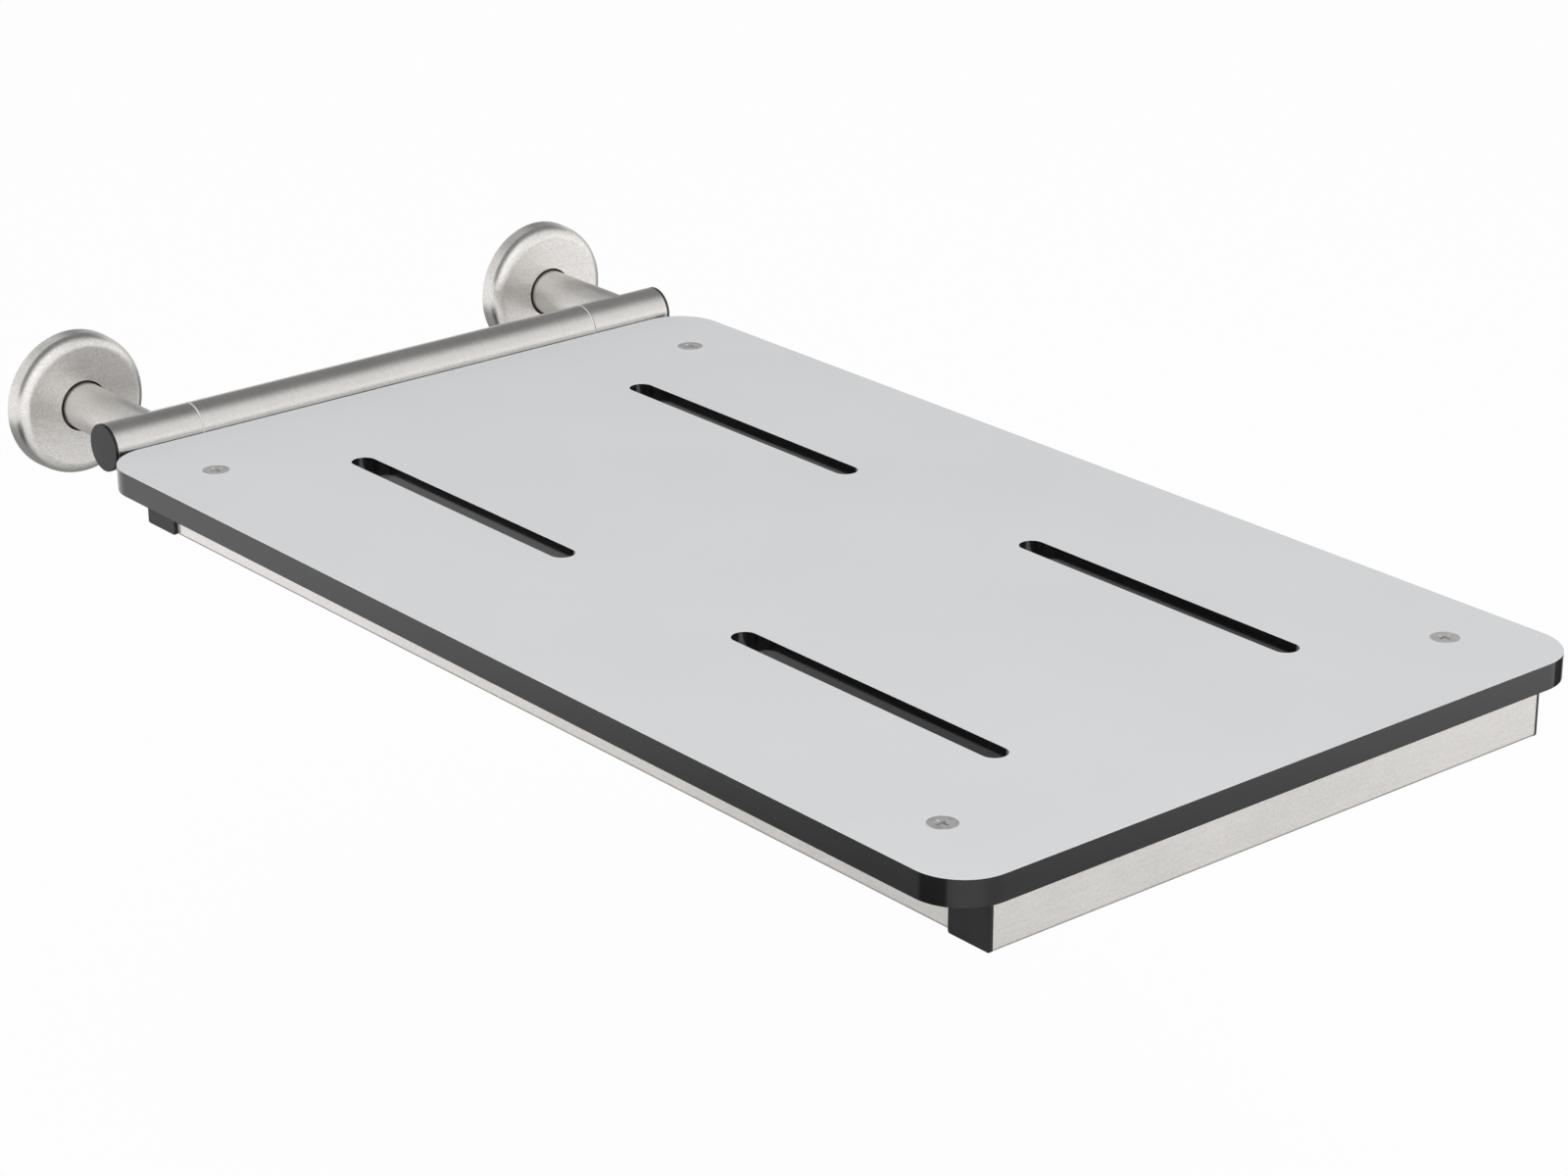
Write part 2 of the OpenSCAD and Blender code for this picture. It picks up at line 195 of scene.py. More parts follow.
class Finish:
    """A node tree that is filled by short calls."""

    def __init__(self, owner):
        owner.use_nodes = True
        self.tree = owner.node_tree
        self.tree.nodes.clear()

    def node(self, kind, settings=None, values=None, out=0):
        """Adds a node, sets it up, fills or links its sockets and returns one of its outputs."""
        made = self.tree.nodes.new(kind)
        for key, setting in (settings or {}).items():
            setattr(made, key, setting)
        for key, value in (values or {}).items():
            if isinstance(value, Value):
                self.tree.links.new(value.socket, made.inputs[key])
            else:
                made.inputs[key].default_value = value
        return Value(self, made.outputs[out]) if made.outputs else None

    def place(self, stretch=(1.0, 1.0, 1.0)):
        where = self.node("ShaderNodeTexCoord", out="Object")
        return self.node("ShaderNodeMapping", values={"Vector": where, "Scale": stretch})

    def noise(self, scale=1.0, detail=2.0, stretch=(1.0, 1.0, 1.0)):
        """Noise with a number of cells to the metre, which a stretch multiplies along each axis."""
        values = {"Vector": self.place(stretch), "Scale": scale, "Detail": detail}
        return self.node("ShaderNodeTexNoise", values=values)

    def axis(self, vector, name):
        return self.node("ShaderNodeSeparateXYZ", values={"Vector": vector}, out=name)

    def facing(self, direction, aim):
        """How closely a direction points at an aim: 1 where they agree."""
        return self.node(
            "ShaderNodeVectorMath", {"operation": "DOT_PRODUCT"}, {0: direction, 1: aim}, out="Value"
        )

    def ray(self, kind):
        return self.node("ShaderNodeLightPath", out=f"Is {kind} Ray")

    def mix(self, amount, first, second):
        first, second = (tone if isinstance(tone, Value) else (*tone, 1.0) for tone in (first, second))
        return self.node("ShaderNodeMix", {"data_type": "RGBA"}, {0: amount, 6: first, 7: second}, out=2)

    def tones(self, amount, base, dark, light):
        """Mixes a darker and a lighter tone of one colour."""
        return self.mix(amount, shade(base, dark), shade(base, light))

    def range(self, value, low, high, to_low=0.0, to_high=1.0):
        return self.node(
            "ShaderNodeMapRange",
            {"interpolation_type": "SMOOTHSTEP"},
            {"Value": value, "From Min": low, "From Max": high, "To Min": to_low, "To Max": to_high},
        )

    def bump(self, height, depth, strength=0.5):
        values = {"Height": height, "Distance": depth * MM, "Strength": strength}
        return self.node("ShaderNodeBump", values=values)

    def surface(self, **values):
        names = {"ior": "IOR"}
        sockets = {names.get(key, key.replace("_", " ").title()): value for key, value in values.items()}
        shader = self.node("ShaderNodeBsdfPrincipled", values=sockets)
        self.node("ShaderNodeOutputMaterial", values={"Surface": shader})


def shade(tone, factor):
    return tuple(channel * factor for channel in tone)


def swing(noise, amount):
    """Makes noise vary about zero, by up to half the amount either way."""
    return (noise - 0.5) * amount


# Where a finish changes: heights over a beam's underside, where the painted brightening of the beam's sides
# begins, and depths behind a cover's face
UNDERSIDE = (0.1 * MM, 0.6 * MM)
COVER_FACE = (0.3 * MM, 3.0 * MM)
HAIR_FINENESS = 2.7
GRAIN_DARK, GRAIN_LIGHT = 0.09, 0.08
# Grain of a beam's underside, which keeps the unbrightened colour without the painted brightening
UNBRIGHTENED_DARK, UNBRIGHTENED_LIGHT = 0.88, 1.0


def brushed_steel(
    finish, stretch, blur=0.0, depth=0.012, light=1.0, grain=1.0, face_blur=0.0, beam=False
):
    """Satin steel whose lines run along the axes with the low stretch. Its colour is multiplied by light,
    which above 1 is a painted brightening that stands in for light the room does not give. A cover's face
    may be duller, and a beam's underside keeps the unbrightened colour, without the painted brightening."""
    look = bpy.context.scene.tub_seat_steel
    lines = finish.noise(detail=3.0, stretch=stretch)
    hair = finish.noise(detail=1.0, stretch=shade(stretch, HAIR_FINENESS))
    cloud = finish.noise(22.0, detail=3.0)
    mottle = finish.noise(900.0, detail=1.0)
    wear = finish.range(lines * 0.35 + cloud * 0.25 + mottle * 0.4, 0.3, 0.7)
    # Painted light: light above 1 brightens the steel's colour, which makes lit copies of one steel
    dark, bright = light * (1 - GRAIN_DARK * grain), light * (1 + GRAIN_LIGHT * grain)
    tone = finish.tones(wear, look.brushed_colour, dark, bright)
    # Painted light: the beam's sides keep the painted brightening, its underside the unbrightened colour
    if beam:
        unbrightened_tone = finish.tones(wear, look.brushed_colour, UNBRIGHTENED_DARK, UNBRIGHTENED_LIGHT)
        start, end = (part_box("front_beam")[0].z + height for height in UNDERSIDE)
        tone = finish.mix(finish.range(finish.axis(finish.place(), "Z"), start, end), unbrightened_tone, tone)
    sheen = look.roughness + blur
    if face_blur:
        start, end = (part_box("right_flange_cover")[0].y + depth_in for depth_in in COVER_FACE)
        sheen = finish.range(finish.axis(finish.place(), "Y"), start, end, sheen + face_blur, sheen)
    finish.surface(
        base_color=tone,
        metallic=1.0,
        roughness=sheen + swing(cloud, 0.16) + swing(hair, 0.10),
        normal=finish.bump(lines + hair * 0.5 + mottle * 3.0, depth, 0.6),
    )


def mill_steel(finish):
    """Mill-finish steel with a soft mottle and a few scuffs."""
    look = bpy.context.scene.tub_seat_steel
    mottle = finish.noise(260.0, detail=4.0)
    cloud = finish.noise(35.0)
    scuff = finish.range(finish.noise(stretch=(90.0, 900.0, 400.0)), 0.62, 0.75)
    finish.surface(
        base_color=finish.tones(finish.range(mottle + cloud, 0.7, 1.3), look.plain_colour, 0.9, 1.06),
        metallic=1.0,
        roughness=0.36 + swing(cloud, 0.18) + scuff * 0.1,
        normal=finish.bump(mottle + scuff, 0.02),
    )


HEAT_TINT = (0.50, 0.44, 0.36)


def weld_steel(finish):
    """Weld metal with a light heat tint between its ripples."""
    look = bpy.context.scene.tub_seat_steel
    heat = finish.noise(420.0)
    grit = finish.noise(2400.0)
    finish.surface(
        base_color=finish.mix(finish.range(heat, 0.35, 0.7), shade(look.plain_colour, 0.95), HEAT_TINT),
        metallic=1.0,
        roughness=0.32 + swing(heat, 0.2) + grit * 0.1,
        normal=finish.bump(grit, 0.03),
    )


def satin_screw(finish):
    """Fine satin steel of the screws."""
    look = bpy.context.scene.tub_seat_steel
    satin = finish.noise(detail=3.0, stretch=(2600.0, 900.0, 900.0))
    cloud = finish.noise(240.0)
    finish.surface(
        base_color=finish.tones(finish.range(cloud, 0.3, 0.7), look.screw_colour, 0.9, 1.1),
        metallic=0.85,
        roughness=0.42 + swing(cloud, 0.14),
        normal=finish.bump(satin, 0.01, 0.6),
    )


def moulded_black(finish):
    """Moulded black plastic with a fine grain."""
    look = bpy.context.scene.tub_seat_plastic
    grain = finish.noise(2600.0)
    cloud = finish.noise(60.0)
    finish.surface(
        base_color=finish.tones(finish.range(cloud, 0.3, 0.7), look.black, 0.88, 1.12),
        roughness=look.roughness + swing(cloud, 0.12) + swing(grain, 0.08),
        ior=look.ior,
        normal=finish.bump(grain, 0.03),
    )


def turned_nylon(finish):
    """Plain white nylon, with the faint lines of its turning."""
    look = bpy.context.scene.tub_seat_plastic
    lines = finish.noise(stretch=(3000.0, 60.0, 60.0))
    finish.surface(
        base_color=finish.tones(lines, look.white, 0.97, 1.03),
        roughness=0.45 + swing(lines, 0.1),
        normal=finish.bump(lines, 0.01),
    )


def laminate_face(finish):
    """Matt grey face sheet with a very fine pebble."""
    look = bpy.context.scene.tub_seat_board
    pebble = finish.noise(1500.0, detail=3.0)
    cloud = finish.noise(9.0, detail=3.0)
    patches = finish.range(cloud * 0.7 + pebble * 0.3, 0.35, 0.65)
    finish.surface(
        base_color=finish.tones(patches, look.face_colour, 0.99, 1.01),
        roughness=look.face_roughness + swing(cloud, 0.06) + swing(pebble, 0.05),
        normal=finish.bump(pebble, 0.02),
    )


def laminate_core(finish):
    """Polished black core with the faint lines of its layers."""
    look = bpy.context.scene.tub_seat_board
    layers = finish.noise(detail=1.0, stretch=(14.0, 14.0, 3200.0))
    cloud = finish.noise(45.0)
    finish.surface(
        base_color=finish.tones(finish.range(layers, 0.35, 0.65), look.core_colour, 0.8, 1.5),
        roughness=look.core_roughness + swing(layers, 0.08) + swing(cloud, 0.08),
        normal=finish.bump(layers, 0.006),
    )


WHITE = (1.0, 1.0, 1.0, 1.0)


def floor_white(finish):
    """White where it is seen or mirrored, matt where light falls on it, and clear from below."""
    grain = finish.noise(3.0)
    matt_tone = finish.tones(grain, WHITE[:3], 0.89, 0.91)
    matt = finish.node("ShaderNodeBsdfDiffuse", values={"Color": matt_tone})
    white = finish.node("ShaderNodeEmission", values={"Color": WHITE, "Strength": 1.0})
    seen = (finish.ray("Camera") + finish.ray("Glossy") + finish.ray("Transmission")) * 0.95
    top = finish.node("ShaderNodeMixShader", values={0: seen, 1: matt, 2: white})
    clear = finish.node("ShaderNodeBsdfTransparent")
    below = finish.node("ShaderNodeNewGeometry", out="Backfacing")
    both = finish.node("ShaderNodeMixShader", values={0: below, 1: top, 2: clear})
    finish.node("ShaderNodeOutputMaterial", values={"Surface": both})


# Cells to the metre across the brush lines and along them
ACROSS, ALONG, ALONG_BEAM = 3600.0, 42.0, 34.0
# beam keeps a beam's underside at the unbrightened colour, under the painted brightening of its sides
BEAM_CHOICES = {"blur": 0.04, "depth": 0.015, "beam": True}

# light above 1 paints a brightening into the post, cover and beam finishes: lit copies of one brushed steel
# that stand in for light the room does not give
FINISHES = {
    "brushed_round": (brushed_steel, dict(stretch=(ACROSS, ALONG, ALONG))),
    "brushed_post_painted_bright": (brushed_steel, dict(stretch=(ALONG, ACROSS, ALONG), blur=0.11, light=1.1, grain=1.6)),
    "brushed_cover_painted_bright": (
        brushed_steel,
        dict(stretch=(ALONG, ACROSS, ACROSS), light=1.08, grain=2.2, face_blur=0.11),
    ),
    "brushed_cross_painted_bright": (brushed_steel, dict(stretch=(ALONG_BEAM, ACROSS, ACROSS), light=1.11, **BEAM_CHOICES)),
    "brushed_side_painted_bright": (brushed_steel, dict(stretch=(ACROSS, ALONG_BEAM, ACROSS), light=1.3, **BEAM_CHOICES)),
}
PLAIN_FINISHES = (
    mill_steel, weld_steel, satin_screw, moulded_black, turned_nylon,
    laminate_face, laminate_core, floor_white,
)
FINISHES.update((make.__name__, (make, {})) for make in PLAIN_FINISHES)


def finish_named(name):
    """Returns a finish's material, which is made when it is first asked for."""
    material = bpy.data.materials.get(name)
    if not material:
        material = bpy.data.materials.new(name)
        make, choices = FINISHES[name]
        make(Finish(material), **choices)
    return material


# Shaping helpers

TURN_STEPS = 96
FINE_TURN_STEPS = 128
ROUND_STEPS = 48
RIM_STEPS = 3
SMALL_ARC_STEPS = 3
LARGE_ARC_STEPS = 12
SHARP_ANGLE = math.radians(32)

BMVert, BMEdge, BMFace = bmesh.types.BMVert, bmesh.types.BMEdge, bmesh.types.BMFace

ALONG_X = Matrix.Rotation(math.radians(90), 4, "Y")
OFF_WALL = Matrix.Rotation(math.radians(90), 4, "X")
ON_EDGE = Matrix(((0, 0, 1, 0), (1, 0, 0, 0), (0, 1, 0, 0), (0, 0, 0, 1)))


def only(kind, items):
    return [item for item in items if isinstance(item, kind)]


def edges_at(verts):
    return list({edge for vert in verts for edge in vert.link_edges})


def about(middle, change):
    """Makes a turn or a change of size work about a point."""
    return Matrix.Translation(middle) @ change @ Matrix.Translation(-middle)


def round_off(bm, verts, offset, steps):
    """Rounds the corners of a flat outline, from an offset on either side."""
    bmesh.ops.bevel(
        bm, geom=verts, affect="VERTICES", offset=offset, segments=steps, profile=0.5, material=-1
    )


def turned(corners, steps=TURN_STEPS):
    """Spins a half section round Z. A corner is (radius, height, rounding)."""
    bm = bmesh.new()
    verts = [bm.verts.new((radius, 0, height)) for radius, height, _ in corners]
    solid = corners[0][0] == 0 and corners[-1][0] == 0
    for pair in zip(verts, verts[1:] if solid else verts[1:] + verts[:1]):
        bm.edges.new(pair)
    for vert, (_, _, rounding) in zip(verts, corners):
        if rounding:
            arms = [edge.other_vert(vert).co - vert.co for edge in vert.link_edges]
            offset = rounding / math.tan(arms[0].angle(arms[1]) / 2)
            round_off(bm, [vert], offset, SMALL_ARC_STEPS if rounding < MM else LARGE_ARC_STEPS)
    bmesh.ops.spin(
        bm, geom=bm.verts[:] + bm.edges[:], axis=(0, 0, 1), cent=(0, 0, 0), angle=math.tau, steps=steps,
        use_merge=True, use_duplicate=False,
    )
    return bm


def pipe(outer, thickness, start, end, rounding, steps=TURN_STEPS):
    """Makes a tube between two heights on Z."""
    bore = outer - thickness
    ends = [(outer, start), (outer, end), (bore, end), (bore, start)]
    return turned([(*corner, rounding) for corner in ends], steps)


def rounded_rectangle(bm, width, depth, radius, height, steps=8):
    """Outline of a rectangle with round corners at a height, centred on Z."""
    made = bmesh.ops.create_grid(
        bm, x_segments=1, y_segments=1, size=0.5, matrix=Matrix.Translation((0, 0, height))
    )
    verts = made["verts"]
    bmesh.ops.scale(bm, vec=(width, depth, 1), verts=verts)
    faces = list({face for vert in verts for face in vert.link_faces})
    bmesh.ops.delete(bm, geom=faces, context="FACES_ONLY")
    if not radius:
        return edges_at(verts)
    before = set(bm.edges) - set(edges_at(verts))
    round_off(bm, verts, radius, steps)
    return [edge for edge in bm.edges if edge not in before]


def circle(bm, centre, radius, height, steps=ROUND_STEPS):
    """Outline of a circle at a height."""
    turn = Matrix.Rotation(math.pi / steps, 4, "Z")
    made = bmesh.ops.create_circle(
        bm, segments=steps, radius=radius, matrix=Matrix.Translation((*centre, height)) @ turn
    )
    return edges_at(made["verts"])


def stadium(bm, centre, width, reach, height):
    """Outline of a slot along Y with round ends."""
    edges = circle(bm, (0, 0), width / 2, height)
    verts = list({vert for edge in edges for vert in edge.verts})
    for vert in verts:
        vert.co.y += math.copysign((reach - width) / 2, vert.co.y)
    bmesh.ops.translate(bm, vec=(*centre, 0), verts=verts)
    return edges


def extruded(bm, edges):
    """Extrudes outlines in place and returns the new vertices and the new outlines."""
    made = bmesh.ops.extrude_edge_only(bm, edges=edges)["geom"]
    verts = only(BMVert, made)
    fresh = set(verts)
    return verts, [edge for edge in only(BMEdge, made) if edge.is_boundary and set(edge.verts) <= fresh]


def wall(bm, edges, drop, centre=None, grow=1.0):
    """Extends outlines downwards, and can change their size about a centre. Returns the new outlines."""
    verts, foot = extruded(bm, edges)
    bmesh.ops.translate(bm, vec=(0, 0, -drop), verts=verts)
    if centre:
        change = about(Vector((*centre, 0)), Matrix.Diagonal((grow, grow, 1, 1)))
        bmesh.ops.transform(bm, matrix=change, verts=verts)
    return foot


def fill(bm, edges, up):
    """Fills outlines with a flat sheet that looks up (1) or down (-1)."""
    made = bmesh.ops.triangle_fill(
        bm, use_beauty=True, use_dissolve=False, edges=edges, normal=(0, 0, up)
    )
    return only(BMFace, made["geom"])


def face_sheet(bm, edges, rim, up):
    """Fills outlines and raises the face over an eased rim. Their walls are drawn before."""
    faces = fill(bm, edges, up)
    for face in faces:
        if face.normal.z * up < 0:
            face.normal_flip()
    turns = [math.pi / 2 * step / RIM_STEPS for step in range(RIM_STEPS + 1)] if rim else []
    for before, after in zip(turns, turns[1:]):
        inwards = rim * (math.cos(before) - math.cos(after))
        rise = rim * (math.sin(after) - math.sin(before))
        bmesh.ops.inset_region(
            bm, faces=faces, use_boundary=True, use_even_offset=True, thickness=inwards, depth=rise
        )


def slab(bm, edges, thickness, top_rim, bottom_rim):
    """Turns outlines into a slab whose top lies top_rim above them."""
    foot = wall(bm, edges, thickness - top_rim - bottom_rim)
    face_sheet(bm, edges, top_rim, 1)
    face_sheet(bm, foot, bottom_rim, -1)


def lay(bm, at, turn=Matrix.Identity(4), side=1):
    """Puts a piece in place. A left piece is the mirrored right one."""
    mirror = Matrix.Diagonal((side, 1, 1, 1))
    bmesh.ops.transform(bm, matrix=mirror @ Matrix.Translation(at) @ turn, verts=bm.verts)


def mesh_of(name, bm):
    bmesh.ops.remove_doubles(bm, verts=bm.verts, dist=MERGE)
    bmesh.ops.recalc_face_normals(bm, faces=bm.faces)
    mesh = bpy.data.meshes.new(name)
    bm.to_mesh(mesh)
    bm.free()
    return mesh


def put_in_scene(name, data):
    made = bpy.data.objects.new(name, data)
    bpy.context.scene.collection.objects.link(made)
    return made


def dress(name, mesh, body, nodes, finishes):
    """Makes the mesh a piece that rides on a body, stands for its nodes and has its finishes."""
    mesh.shade_smooth()
    mesh.set_sharp_from_angle(angle=SHARP_ANGLE)
    for finish in finishes:
        mesh.materials.append(finish_named(finish))
    piece = put_in_scene(name, mesh)
    even = piece.modifiers.new("even_shading", "WEIGHTED_NORMAL")
    even.keep_sharp = True
    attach(piece, body)
    if nodes:
        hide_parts(*nodes)


def piece_of(name, bm, body, slot, nodes, *finishes):
    dress(name, mesh_of(name, bm), body, nodes, finishes)


def cut(mesh, tool_bm):
    """Cuts a hole in a mesh with a tool and returns the cut mesh."""
    name, faces = mesh.name, len(mesh.polygons)
    work = put_in_scene("work", mesh)
    tool = put_in_scene("tool", mesh_of("tool", tool_bm))
    hole = work.modifiers.new("hole", "BOOLEAN")
    hole.object, hole.operation, hole.solver = tool, "DIFFERENCE", "EXACT"
    bpy.context.view_layer.update()
    graph = bpy.context.evaluated_depsgraph_get()
    result = bpy.data.meshes.new_from_object(work.evaluated_get(graph))
    for item in (work, tool):
        data = item.data
        bpy.data.objects.remove(item)
        bpy.data.meshes.remove(data)
    if len(result.polygons) <= faces:
        raise RuntimeError(f"The tool cut nothing out of {name}")
    result.name = name
    return result


# Operators, one for each piece or group of like pieces

HALF_CONE = math.radians(41)
BOARD_CORNER_STEPS = 20


def screw_places():
    """The middles of the four seat screws on the board's top face."""
    low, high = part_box("seat_screws")
    beam_low, beam_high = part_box("left_side_beam")
    reach = (beam_low.x + beam_high.x) / 2
    head = abs(low.x - reach)
    ends = (low.y + head, high.y - head)
    return [Vector((side * reach, end, high.z)) for side in BOTH for end in ends]


class MakeBoard(bpy.types.Operator):
    """Makes the slotted board with its countersinks"""

    bl_idname = "tub_seat.board"
    bl_label = "Seat board"

    def execute(self, context):
        look = context.scene.tub_seat_board
        size = BOARD_HIGH - BOARD_LOW
        middle = (BOARD_LOW + BOARD_HIGH) / 2
        bm = bmesh.new()
        rims = rounded_rectangle(bm, size.x, size.y, look.corner, -look.rim, BOARD_CORNER_STEPS)
        slot_x = size.x / 2 - look.slot_from_side
        slot_y = size.y / 2 - look.slot_from_end
        for spot in [(side * slot_x, end * slot_y) for side in BOTH for end in BOTH]:
            rims += stadium(bm, spot, look.slot_width, look.slot_length, -look.rim)
        spots = [(place.x - middle.x, place.y - middle.y) for place in screw_places()]
        holes = [circle(bm, spot, look.hole / 2, -look.rim) for spot in spots]
        straight = size.z - 2 * look.rim
        cone = (look.hole - look.bore) / 2 / math.tan(HALF_CONE)
        foot = wall(bm, rims, straight)
        for spot, edges in zip(spots, holes):
            edges = wall(bm, edges, look.land - look.rim)
            edges = wall(bm, edges, cone, spot, look.bore / look.hole)
            foot += wall(bm, edges, straight - cone - look.land + look.rim)
        face_sheet(bm, rims + sum(holes, []), look.rim, 1)
        face_sheet(bm, foot, look.rim, -1)
        for face in bm.faces:
            deep = -face.calc_center_median().z
            face.material_index = int(look.sheet < deep < size.z - look.trimmed)
        lay(bm, (middle.x, middle.y, BOARD_HIGH.z))
        piece_of(
            "slotted_board", bm, "seat", "grey_laminate", ["seat_board"], "laminate_face", "laminate_core"
        )
        return {"FINISHED"}


# Side of a cell in the grid that the cross is drawn from
CELL = 1 / 3
HEAD_STEPS = 64
SCREW_SHANK_R = 3.175 * MM
SCREW_LAND = 0.3 * MM
SCREW_EDGE = 0.12 * MM
SCREW_POINT = 0.75
RECESS_BLADE = 1.3 * MM
RECESS_SPAN = 6.6 * MM
RECESS_FOOT = 2.2 * MM
RECESS_DEPTH = 3.2 * MM


class MakeScrews(bpy.types.Operator):
    """Makes the four flat-head screws with their cross recesses"""

    bl_idname = "tub_seat.screws"
    bl_label = "Seat screws"

    def execute(self, context):
        low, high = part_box("seat_screws")
        first, *others = screw_places()
        head_r = abs(low.x) - abs(first.x)
        bm = bmesh.new()
        rim = self.cross_recess(bm)
        ring = circle(bm, (0, 0), head_r - SCREW_EDGE, 0, HEAD_STEPS)
        fill(bm, rim + ring, 1)
        cone = (head_r - SCREW_SHANK_R) / math.tan(HALF_CONE)
        shank = high.z - low.z - SCREW_LAND - cone
        ring = wall(bm, ring, SCREW_EDGE, (0, 0), head_r / (head_r - SCREW_EDGE))
        ring = wall(bm, ring, SCREW_LAND - SCREW_EDGE)
        ring = wall(bm, ring, cone, (0, 0), SCREW_SHANK_R / head_r)
        ring = wall(bm, ring, shank - MM)
        ring = wall(bm, ring, MM, (0, 0), SCREW_POINT)
        fill(bm, ring, -1)
        one = bm.verts[:] + bm.edges[:] + bm.faces[:]
        for place in others:
            copy = bmesh.ops.duplicate(bm, geom=one)["geom"]
            bmesh.ops.translate(bm, vec=place - first, verts=only(BMVert, copy))
        lay(bm, first)
        piece_of("cross_screws", bm, "seat", "screw_steel", ["seat_screws"], "satin_screw")
        return {"FINISHED"}

    def cross_recess(self, bm):
        """Draws the recess from a three by three grid without its corners. Returns its upper rim."""
        bmesh.ops.create_grid(bm, x_segments=3, y_segments=3, size=0.5)
        corners = [face for face in bm.faces if min(map(abs, face.calc_center_median().xy)) > CELL / 2]
        bmesh.ops.delete(bm, geom=corners, context="FACES")
        for vert in bm.verts:
            for axis in (0, 1):
                arm = RECESS_FOOT if abs(vert.co[axis]) > CELL else RECESS_BLADE
                vert.co[axis] = math.copysign(arm / 2, vert.co[axis])
            vert.co.z = -RECESS_DEPTH
        rim = wall(bm, [edge for edge in bm.edges if edge.is_boundary], -RECESS_DEPTH)
        for vert in {vert for edge in rim for vert in edge.verts}:
            for axis in (0, 1):
                if abs(vert.co[axis]) > RECESS_BLADE / 2 + MERGE:
                    vert.co[axis] = math.copysign(RECESS_SPAN / 2, vert.co[axis])
        return rim


class MakeHingeTube(bpy.types.Operator):
    """Makes the turning middle length of the hinge tube"""

    bl_idname = "tub_seat.hinge_tube"
    bl_label = "Hinge tube"

    def execute(self, context):
        look = context.scene.tub_seat_steel
        half = (TUBE_HIGH.x - TUBE_LOW.x) / 2
        bm = pipe(TUBE_R, look.tube_wall, -half, half, look.end_round)
        lay(bm, HINGE, ALONG_X)
        piece_of("turning_tube", bm, "seat", "brushed_steel", ["hinge_tube"], "brushed_round")
        return {"FINISHED"}


# A drill goes this much further than its hole
DRILL_PAST = 1.05


class MakeSleeves(bpy.types.Operator):
    """Makes the two fixed end sleeves with their grub screw holes"""

    bl_idname = "tub_seat.sleeves"
    bl_label = "End sleeves"

    def execute(self, context):
        look = context.scene.tub_seat_steel
        low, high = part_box("right_end_sleeve")
        grub_low, grub_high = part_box("shaft_screws")
        grub_r = (grub_high.y - grub_low.y) / 2
        foot = -TUBE_R * DRILL_PAST
        top = -(TUBE_R - look.tube_wall) / 2 * DRILL_PAST
        for name, side in SIDES.items():
            bm = pipe(TUBE_R, look.tube_wall, 0, high.x - low.x, look.end_round)
            lay(bm, (low.x, HINGE.y, HINGE.z), ALONG_X, side)
            drill = turned([(0, foot, 0), (grub_r, foot, 0), (grub_r, top, 0), (0, top, 0)], ROUND_STEPS)
            lay(drill, (grub_high.x - grub_r, HINGE.y, HINGE.z), side=side)
            sleeve = name + "_sleeve_tube"
            mesh = cut(mesh_of(sleeve, bm), drill)
            dress(sleeve, mesh, "wall_mount", [name + "_end_sleeve"], ["brushed_round"])
        return {"FINISHED"}


BUSH_EDGE = 0.3 * MM
BUSH_LEAD = 0.6 * MM
FLANGE_EDGE = 0.25 * MM


class MakeBushes(bpy.types.Operator):
    """Makes the two nylon bushes, whose flanges show as fine lines at the seams"""

    bl_idname = "tub_seat.bushes"
    bl_label = "Bushes"

    def execute(self, context):
        look = context.scene.tub_seat_steel
        low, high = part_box("right_bush")
        shaft_low, shaft_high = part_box("hinge_shaft")
        flange_r = (high.z - low.z) / 2
        stem_r = TUBE_R - look.tube_wall - FIT
        shaft_r = (shaft_high.z - shaft_low.z) / 2 + FIT
        seam = TUBE_HIGH.x - low.x
        end = high.x - low.x
        for name, side in SIDES.items():
            bm = turned([
                (shaft_r, 0, BUSH_EDGE),
                (stem_r, 0, BUSH_LEAD),
                (stem_r, seam, 0),
                (flange_r, seam, FLANGE_EDGE),
                (flange_r, end, FLANGE_EDGE),
                (shaft_r, end, BUSH_EDGE),
            ])
            lay(bm, (low.x, HINGE.y, HINGE.z), ALONG_X, side)
            piece_of(name + "_nylon_bush", bm, "seat", "white_nylon", [name + "_bush"], "turned_nylon")
        return {"FINISHED"}


CAP_SEAT_EDGE = 0.1 * MM
CAP_LEAD = 0.5 * MM
CAP_HOLLOW_EDGE = 0.3 * MM
CAP_HOLLOW_CORNER = 0.4 * MM


class MakeCaps(bpy.types.Operator):
    """Makes the two black caps of the hinge tube"""

    bl_idname = "tub_seat.caps"
    bl_label = "Tube caps"

    def execute(self, context):
        look = context.scene.tub_seat_plastic
        low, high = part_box("right_tube_cap")
        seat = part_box("right_end_sleeve")[1].x - low.x
        stem_r = TUBE_R - context.scene.tub_seat_steel.tube_wall - FIT
        hollow_r = stem_r - look.stem_wall
        end = high.x - low.x
        for name, side in SIDES.items():
            bm = turned([
                (0, end, 0),
                (TUBE_R, end, look.cap_round),
                (TUBE_R, seat, CAP_SEAT_EDGE),
                (stem_r, seat, 0),
                (stem_r, 0, CAP_LEAD),
                (hollow_r, 0, CAP_HOLLOW_EDGE),
                (hollow_r, seat, CAP_HOLLOW_CORNER),
                (0, seat, 0),
            ])
            lay(bm, (low.x, HINGE.y, HINGE.z), ALONG_X, side)
            cap = name + "_cap_black"
            piece_of(cap, bm, "wall_mount", "black_plastic", [name + "_tube_cap"], "moulded_black")
        return {"FINISHED"}


COPE_BITE = 0.04 * MM


